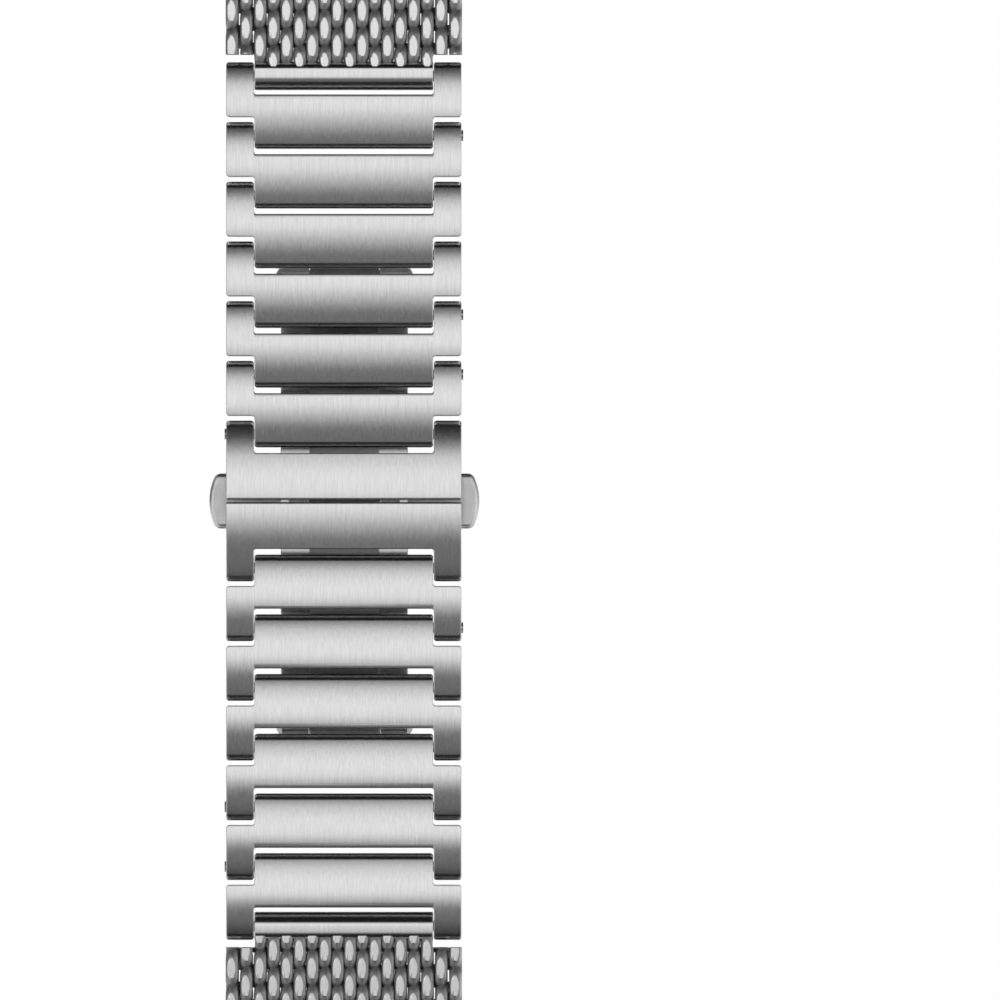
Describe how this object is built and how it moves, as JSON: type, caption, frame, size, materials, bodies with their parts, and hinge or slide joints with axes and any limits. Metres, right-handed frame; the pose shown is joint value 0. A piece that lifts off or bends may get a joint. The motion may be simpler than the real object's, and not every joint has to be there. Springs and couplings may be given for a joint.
{
  "type": "mesh watch band",
  "caption": "Steel watch band with woven mesh ends, H-shaped links and a double-folding push-button butterfly clasp, on sprung bars.",
  "frame": {"origin": "middle of the upper spring bar, on its axis", "axes": "+X across the band, -Y out of its outside face, +Y towards the wrist, -Z down the hanging band to the lower spring bar"},
  "size_m": [0.023, 0.0077, 0.1766],
  "materials": {
    "link_steel": "stainless steel, brushed along the band, with dark rounded edges",
    "mesh_steel": "bright woven stainless wire, ground flat on the wrist side",
    "plate_steel": "stainless steel, fine brushed along the band",
    "frosted_steel": "grey frosted stainless steel, bead blasted",
    "button_steel": "matte fine-blasted stainless steel",
    "pin_steel": "plain turned stainless steel",
    "spring_steel": "plain spring wire, out of sight",
    "enamel": "orange enamel fill"
  },
  "bodies": {
    "bar_a": {"spring_bar_a": "pin_steel", "bar_spring_a": "spring_steel"},
    "tip_left_a": {"tip_left_a": "pin_steel"},
    "tip_right_a": {"tip_right_a": "pin_steel"},
    "lug_a": {"lug_end_a": "link_steel", "mesh_a1": "mesh_steel"},
    "mesh_a2": {"mesh_a2": "mesh_steel"},
    "mesh_a3": {"mesh_a3": "mesh_steel"},
    "end_a": {"mesh_a4": "mesh_steel", "end_bar_a": "link_steel"},
    "link_a1": {"link_a1": "link_steel", "pin_a1": "pin_steel"},
    "link_a2": {"link_a2": "link_steel", "pin_a2": "pin_steel"},
    "link_a3": {"link_a3": "link_steel", "pin_a3": "pin_steel"},
    "link_a4": {"link_a4": "link_steel", "pin_a4": "pin_steel"},
    "link_a5": {"link_a5": "link_steel", "pin_a5": "pin_steel"},
    "link_a6": {"link_a6": "link_steel", "pin_a6": "pin_steel"},
    "cover_a": {"cover_a": "link_steel", "pin_a7": "pin_steel", "cover_pin_a": "pin_steel"},
    "blade_a": {"blade_a": "frosted_steel"},
    "tip_left_b": {"tip_left_b": "pin_steel"},
    "tip_right_b": {"tip_right_b": "pin_steel"},
    "lug_b": {"lug_end_b": "link_steel", "mesh_b1": "mesh_steel"},
    "mesh_b2": {"mesh_b2": "mesh_steel"},
    "mesh_b3": {"mesh_b3": "mesh_steel"},
    "end_b": {"mesh_b4": "mesh_steel", "end_bar_b": "link_steel"},
    "link_b1": {"link_b1": "link_steel", "pin_b1": "pin_steel"},
    "link_b2": {"link_b2": "link_steel", "pin_b2": "pin_steel"},
    "link_b3": {"link_b3": "link_steel", "pin_b3": "pin_steel"},
    "link_b4": {"link_b4": "link_steel", "pin_b4": "pin_steel"},
    "link_b5": {"link_b5": "link_steel", "pin_b5": "pin_steel"},
    "link_b6": {"link_b6": "link_steel", "pin_b6": "pin_steel"},
    "cover_b": {"cover_b": "link_steel", "pin_b7": "pin_steel", "cover_pin_b": "pin_steel"},
    "blade_b": {"blade_b": "frosted_steel"},
    "bar_b": {"spring_bar_b": "pin_steel", "bar_spring_b": "spring_steel"},
    "clasp": {"centre_plate": "plate_steel", "hinge_pins": "pin_steel", "housing": "frosted_steel", "pill_cover": "plate_steel", "enamel_bar": "enamel", "button_spring": "spring_steel"},
    "button_left": {"button_left": "button_steel"},
    "button_right": {"button_right": "button_steel"}
  },
  "joints": [
    {"name": "lug_a_turn", "type": "hinge", "parent": "bar_a", "child": "lug_a", "pos_m": [0, 0, 0], "axis": [1, 0, 0], "range_deg": [-15, 75]},
    {"name": "mesh_a2_bend", "type": "hinge", "parent": "lug_a", "child": "mesh_a2", "pos_m": [0, 0, -0.0142], "axis": [1, 0, 0], "range_deg": [-10, 12]},
    {"name": "mesh_a3_bend", "type": "hinge", "parent": "mesh_a2", "child": "mesh_a3", "pos_m": [0, 0, -0.0262], "axis": [1, 0, 0], "range_deg": [-10, 12]},
    {"name": "mesh_a4_bend", "type": "hinge", "parent": "mesh_a3", "child": "end_a", "pos_m": [0, 0, -0.0382], "axis": [1, 0, 0], "range_deg": [-10, 12]},
    {"name": "pin_a1_bend", "type": "hinge", "parent": "end_a", "child": "link_a1", "pos_m": [0, 0, -0.05052], "axis": [1, 0, 0], "range_deg": [-6, 20]},
    {"name": "pin_a2_bend", "type": "hinge", "parent": "link_a1", "child": "link_a2", "pos_m": [0, 0, -0.0556], "axis": [1, 0, 0], "range_deg": [-6, 20]},
    {"name": "pin_a3_bend", "type": "hinge", "parent": "link_a2", "child": "link_a3", "pos_m": [0, 0, -0.06068], "axis": [1, 0, 0], "range_deg": [-6, 20]},
    {"name": "pin_a4_bend", "type": "hinge", "parent": "link_a3", "child": "link_a4", "pos_m": [0, 0, -0.06576], "axis": [1, 0, 0], "range_deg": [-6, 20]},
    {"name": "pin_a5_bend", "type": "hinge", "parent": "link_a4", "child": "link_a5", "pos_m": [0, 0, -0.07084], "axis": [1, 0, 0], "range_deg": [-6, 20]},
    {"name": "pin_a6_bend", "type": "hinge", "parent": "link_a5", "child": "link_a6", "pos_m": [0, 0, -0.07592], "axis": [1, 0, 0], "range_deg": [-6, 14]},
    {"name": "pin_a7_bend", "type": "hinge", "parent": "link_a6", "child": "cover_a", "pos_m": [0, 0, -0.081], "axis": [1, 0, 0], "range_deg": [-6, 8]},
    {"name": "cover_a_fold", "type": "hinge", "parent": "cover_a", "child": "blade_a", "pos_m": [0, 0.0012, -0.0841], "axis": [-1, 0, 0], "range_deg": [0, 170]},
    {"name": "far_a_fold", "type": "hinge", "parent": "blade_a", "child": "clasp", "pos_m": [0, 0.00522, -0.06745], "axis": [1, 0, 0], "range_deg": [0, 170]},
    {"name": "left_press", "type": "slide", "parent": "clasp", "child": "button_left", "axis": [1, 0, 0], "range_m": [0, 0.0008], "stiffness_N_per_m": 300, "deforming": ["button_spring"]},
    {"name": "right_press", "type": "slide", "parent": "clasp", "child": "button_right", "axis": [-1, 0, 0], "range_m": [0, 0.0008], "stiffness_N_per_m": 300, "deforming": ["button_spring"]},
    {"name": "far_b_fold", "type": "hinge", "parent": "clasp", "child": "blade_b", "pos_m": [0, 0.00522, -0.10595], "axis": [1, 0, 0], "range_deg": [0, 170]},
    {"name": "cover_b_fold", "type": "hinge", "parent": "blade_b", "child": "cover_b", "pos_m": [0, 0.0012, -0.0893], "axis": [-1, 0, 0], "range_deg": [0, 170]},
    {"name": "pin_b7_bend", "type": "hinge", "parent": "cover_b", "child": "link_b6", "pos_m": [0, 0, -0.0924], "axis": [1, 0, 0], "range_deg": [-6, 8]},
    {"name": "pin_b6_bend", "type": "hinge", "parent": "link_b6", "child": "link_b5", "pos_m": [0, 0, -0.09748], "axis": [1, 0, 0], "range_deg": [-6, 14]},
    {"name": "pin_b5_bend", "type": "hinge", "parent": "link_b5", "child": "link_b4", "pos_m": [0, 0, -0.10256], "axis": [1, 0, 0], "range_deg": [-6, 20]},
    {"name": "pin_b4_bend", "type": "hinge", "parent": "link_b4", "child": "link_b3", "pos_m": [0, 0, -0.10764], "axis": [1, 0, 0], "range_deg": [-6, 20]},
    {"name": "pin_b3_bend", "type": "hinge", "parent": "link_b3", "child": "link_b2", "pos_m": [0, 0, -0.11272], "axis": [1, 0, 0], "range_deg": [-6, 20]},
    {"name": "pin_b2_bend", "type": "hinge", "parent": "link_b2", "child": "link_b1", "pos_m": [0, 0, -0.1178], "axis": [1, 0, 0], "range_deg": [-6, 20]},
    {"name": "pin_b1_bend", "type": "hinge", "parent": "link_b1", "child": "end_b", "pos_m": [0, 0, -0.12288], "axis": [1, 0, 0], "range_deg": [-6, 20]},
    {"name": "mesh_b4_bend", "type": "hinge", "parent": "end_b", "child": "mesh_b3", "pos_m": [0, 0, -0.1352], "axis": [1, 0, 0], "range_deg": [-10, 12]},
    {"name": "mesh_b3_bend", "type": "hinge", "parent": "mesh_b3", "child": "mesh_b2", "pos_m": [0, 0, -0.1472], "axis": [1, 0, 0], "range_deg": [-10, 12]},
    {"name": "mesh_b2_bend", "type": "hinge", "parent": "mesh_b2", "child": "lug_b", "pos_m": [0, 0, -0.1592], "axis": [1, 0, 0], "range_deg": [-10, 12]},
    {"name": "bar_b_turn", "type": "hinge", "parent": "lug_b", "child": "bar_b", "pos_m": [0, 0, -0.1734], "axis": [1, 0, 0], "range_deg": [-75, 15]},
    {"name": "tip_left_a_slide", "type": "slide", "parent": "bar_a", "child": "tip_left_a", "axis": [1, 0, 0], "range_m": [0, 0.00095], "stiffness_N_per_m": 150, "deforming": ["bar_spring_a"]},
    {"name": "tip_right_a_slide", "type": "slide", "parent": "bar_a", "child": "tip_right_a", "axis": [-1, 0, 0], "range_m": [0, 0.00095], "stiffness_N_per_m": 150, "deforming": ["bar_spring_a"]},
    {"name": "tip_left_b_slide", "type": "slide", "parent": "bar_b", "child": "tip_left_b", "axis": [1, 0, 0], "range_m": [0, 0.00095], "stiffness_N_per_m": 150, "deforming": ["bar_spring_b"]},
    {"name": "tip_right_b_slide", "type": "slide", "parent": "bar_b", "child": "tip_right_b", "axis": [-1, 0, 0], "range_m": [0, 0.00095], "stiffness_N_per_m": 150, "deforming": ["bar_spring_b"]}
  ],
  "couplings": [
    {"joint": "far_a_fold", "follows": "cover_a_fold", "ratio": 1},
    {"joint": "cover_b_fold", "follows": "far_b_fold", "ratio": 1}
  ]
}
